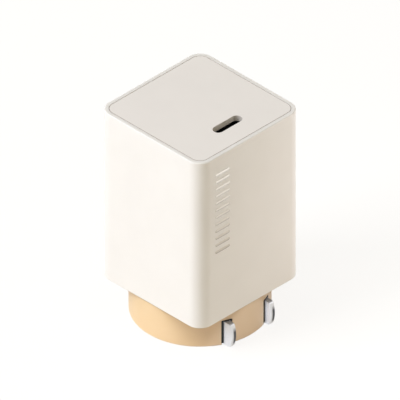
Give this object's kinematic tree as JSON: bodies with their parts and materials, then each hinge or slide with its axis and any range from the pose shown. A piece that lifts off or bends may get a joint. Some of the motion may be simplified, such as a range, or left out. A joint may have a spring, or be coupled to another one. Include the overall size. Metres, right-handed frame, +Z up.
{
  "type": "laptop power adapter",
  "caption": "Square wall-plug laptop power adapter with a USB-C port on top and a round drum that holds fold-out mains blades.",
  "frame": {"origin": "middle of the drum's round lower face, which the adapter stands on", "axes": "+Z up, from the drum to the port panel; -Y to the front, the way the folded blades point; X along the hinge axis and the long side of the port"},
  "size_m": [0.0336, 0.0343, 0.056],
  "materials": {
    "case_cream": "satin",
    "panel_grey": "matte",
    "drum_tan": "satin",
    "inner_plastic": "matte",
    "blade_metal": "polished",
    "steel": "brushed",
    "spring_steel": "brushed",
    "copper": "satin",
    "contact_gold": "polished",
    "dark_shell": "satin",
    "black_plastic": "matte",
    "board_green": "satin",
    "fuse_brown": "matte",
    "film_yellow": "matte",
    "ferrite_green": "matte",
    "ferrite_grey": "matte",
    "can_sleeve": "satin",
    "can_metal": "satin",
    "winding_tape": "matte",
    "disc_blue": "satin",
    "sheet_amber": "matte",
    "pad_grey": "matte"
  },
  "bodies": {
    "charger": {"outer_case": "case_cream", "port_panel": "panel_grey", "plug_drum": "drum_tan", "hinge_retainer": "inner_plastic", "retainer_screws": "steel", "detent_spring": "spring_steel", "mains_contact_left": "copper", "mains_contact_right": "copper", "usb_c_shell": "dark_shell", "usb_c_tongue": "black_plastic", "usb_c_contacts": "contact_gold", "input_board": "board_green", "main_board": "board_green", "output_board": "board_green", "fuse": "fuse_brown", "line_filter_capacitor": "film_yellow", "line_choke_core": "ferrite_green", "line_choke_windings": "copper", "bridge_rectifier": "black_plastic", "bulk_capacitor_front": "can_sleeve", "bulk_capacitor_rear": "can_sleeve", "bulk_capacitor_lying": "can_sleeve", "transformer_core_lower": "ferrite_grey", "transformer_core_upper": "ferrite_grey", "transformer_bobbin": "black_plastic", "transformer_winding": "winding_tape", "power_switch_chip": "black_plastic", "controller_chip": "black_plastic", "isolation_capacitor": "disc_blue", "synchronous_rectifier": "black_plastic", "port_controller_chip": "black_plastic", "output_capacitor_left": "can_metal", "output_capacitor_middle": "can_metal", "output_capacitor_right": "can_metal", "heat_spreader": "copper", "insulating_sheet": "sheet_amber", "thermal_pad": "pad_grey"},
    "folding_plug": {"blade_rotor": "drum_tan", "blade_left": "blade_metal", "blade_right": "blade_metal", "hinge_pin_left": "steel", "hinge_pin_right": "steel"}
  },
  "joints": [
    {"name": "blade_fold", "type": "hinge", "parent": "charger", "child": "folding_plug", "pos_m": [0, 0.00363, 0.00328], "axis": [1, 0, 0], "range_deg": [0, 90], "deforming": ["detent_spring"]}
  ]
}
